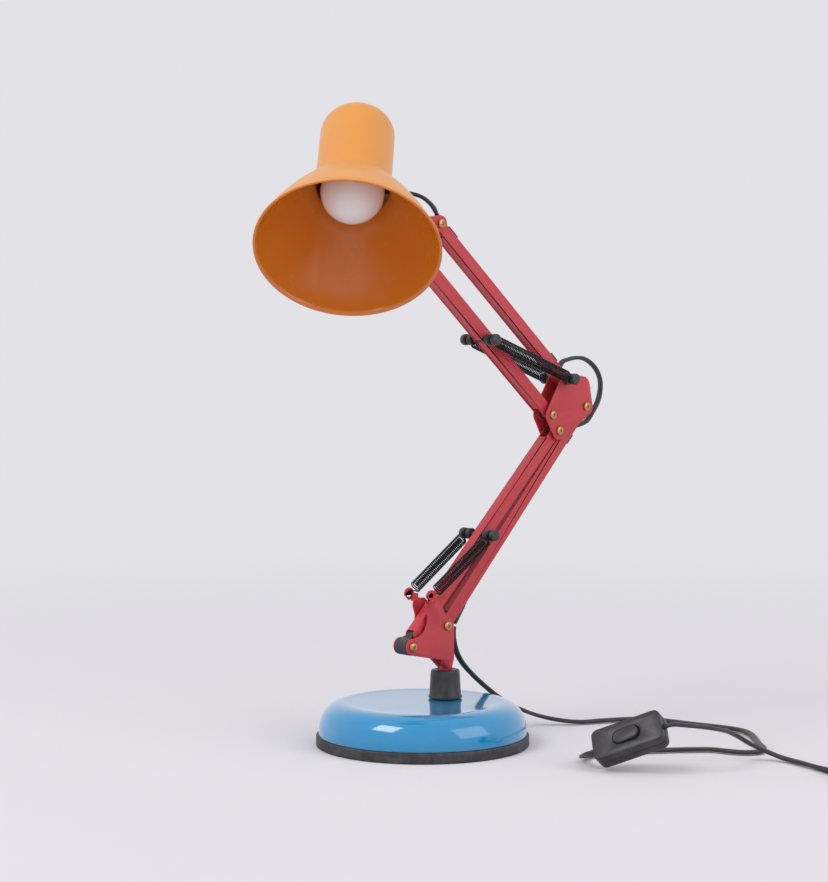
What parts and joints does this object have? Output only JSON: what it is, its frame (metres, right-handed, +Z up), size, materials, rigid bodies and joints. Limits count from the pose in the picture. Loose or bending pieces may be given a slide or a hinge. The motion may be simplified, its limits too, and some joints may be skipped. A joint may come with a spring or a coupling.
{
  "type": "architect desk lamp",
  "caption": "Spring-balanced two-arm desk lamp with a domed round base, tilting bell shade, bulb, and a flat cord with rocker switch and plug.",
  "frame": {"origin": "centre of the round base's underside, on the surface that the lamp stands on", "axes": "+Z up; the arms lie in the XZ plane with the elbow toward +X; -Y is the side of the screw heads"},
  "size_m": [0.4364, 0.462, 0.5054],
  "materials": {
    "red_powder_coat": "powder-coated steel sheet, satin red",
    "blue_enamel": "high-gloss blue enamel on pressed steel",
    "orange_enamel": "semi-gloss orange enamel on spun metal",
    "black_plastic": "moulded black plastic, fine texture",
    "black_rubber": "black rubber, matt",
    "black_pvc_cord": "soft black PVC cord sheath",
    "yellow_zinc": "yellow-passivated zinc on steel screws",
    "spring_steel": "black-finished spring wire",
    "cast_iron": "raw grey iron weight",
    "zinc_steel": "bright zinc on steel",
    "opal_glass": "white opal lamp glass"
  },
  "bodies": {
    "base": {"base_shell": "blue_enamel", "base_ring": "black_rubber", "base_pad": "black_rubber", "base_weight": "cast_iron", "stem_socket": "black_plastic", "socket_nut": "zinc_steel", "cord_lead": "black_pvc_cord", "cord_tail": "black_pvc_cord", "cord_coil": "black_pvc_cord", "coil_tie": "black_plastic", "plug": "black_plastic", "switch_base": "black_plastic", "switch_cover": "black_plastic"},
    "rocker": {"switch_rocker": "black_plastic"},
    "foot": {"foot_bracket": "red_powder_coat", "foot_screw_main": "yellow_zinc", "foot_screw_guide": "yellow_zinc", "foot_sleeve_main": "black_plastic", "lower_spring_front": "spring_steel", "lower_spring_back": "spring_steel"},
    "lower_main": {"lower_bar_main": "red_powder_coat", "cord_lower_arm": "black_pvc_cord", "cord_clip_lower": "black_plastic"},
    "lower_guide": {"lower_bar_guide": "red_powder_coat", "lower_bar_bush": "black_plastic", "lower_spring_pin": "black_plastic"},
    "elbow": {"elbow_plate_front": "red_powder_coat", "elbow_plate_back": "red_powder_coat", "elbow_screw_main": "yellow_zinc", "elbow_screw_upper": "yellow_zinc", "elbow_screw_lower": "yellow_zinc", "elbow_sleeve_main": "black_plastic", "elbow_sleeve_upper": "black_plastic", "elbow_sleeve_lower": "black_plastic", "elbow_stud_front": "black_plastic", "elbow_stud_back": "black_plastic", "cord_elbow": "black_pvc_cord", "upper_spring_front": "spring_steel", "upper_spring_back": "spring_steel"},
    "upper_main": {"upper_bar_main": "red_powder_coat", "cord_upper_arm": "black_pvc_cord", "cord_clip_head": "black_plastic", "cord_clip_upper": "black_plastic"},
    "upper_guide": {"upper_bar_guide": "red_powder_coat", "upper_spring_pin": "black_plastic"},
    "head": {"head_bracket": "red_powder_coat", "head_screw_main": "yellow_zinc", "head_screw_guide": "yellow_zinc", "head_sleeve_main": "black_plastic", "head_sleeve_guide": "black_plastic", "tilt_knob": "black_plastic", "cord_head": "black_pvc_cord"},
    "knuckle": {"tilt_knuckle": "black_plastic", "knuckle_nut": "zinc_steel"},
    "shade": {"shade": "orange_enamel", "cord_gland": "black_plastic", "holder_strap": "zinc_steel", "lampholder": "black_plastic", "bulb_glass": "opal_glass", "bulb_cap": "zinc_steel"}
  },
  "joints": [
    {"name": "base_swivel", "type": "hinge", "parent": "base", "child": "foot", "pos_m": [0.0245, 0, 0.05], "axis": [0, 0, 1], "range_deg": [-170, 170], "deforming": ["cord_lead"]},
    {"name": "lower_tilt", "type": "hinge", "parent": "foot", "child": "lower_main", "pos_m": [0.0195, 0, 0.0937], "axis": [0, -1, 0], "range_deg": [-1, 40], "deforming": ["lower_spring_front", "lower_spring_back"]},
    {"name": "lower_guide_tilt", "type": "hinge", "parent": "foot", "child": "lower_guide", "pos_m": [-0.0176, 0, 0.08], "axis": [0, -1, 0], "range_deg": [-2, 42]},
    {"name": "elbow_level", "type": "hinge", "parent": "lower_main", "child": "elbow", "pos_m": [0.1797, 0, 0.2659], "axis": [0, -1, 0], "range_deg": [-49, 2]},
    {"name": "upper_tilt", "type": "hinge", "parent": "elbow", "child": "upper_main", "pos_m": [0.1797, 0, 0.2659], "axis": [0, -1, 0], "range_deg": [-45, 30], "deforming": ["upper_spring_front", "upper_spring_back", "cord_elbow"]},
    {"name": "upper_guide_tilt", "type": "hinge", "parent": "elbow", "child": "upper_guide", "pos_m": [0.1391, 0, 0.2597], "axis": [0, -1, 0], "range_deg": [-46, 31]},
    {"name": "head_level", "type": "hinge", "parent": "upper_main", "child": "head", "pos_m": [0.0126, 0, 0.4139], "axis": [0, -1, 0], "range_deg": [-31, 46]},
    {"name": "shade_tilt", "type": "hinge", "parent": "head", "child": "knuckle", "pos_m": [-0.0325, 0, 0.4257], "axis": [0, -1, 0], "range_deg": [-45, 45], "deforming": ["cord_head"]},
    {"name": "shade_swivel", "type": "hinge", "parent": "knuckle", "child": "shade", "pos_m": [-0.0325, 0, 0.4257], "axis": [0.8291, 0, -0.5591], "range_deg": [-90, 90]},
    {"name": "rocker_tilt", "type": "hinge", "parent": "base", "child": "rocker", "pos_m": [0.03596, -0.18718, 0.02736], "axis": [0.4184, 0.5542, 0.7195], "range_deg": [0, 10]}
  ],
  "couplings": [
    {"joint": "lower_guide_tilt", "follows": "lower_tilt", "ratio": 1.0327},
    {"joint": "elbow_level", "follows": "lower_tilt", "ratio": -1.209},
    {"joint": "upper_guide_tilt", "follows": "upper_tilt", "ratio": 1},
    {"joint": "head_level", "follows": "upper_tilt", "ratio": -1}
  ]
}
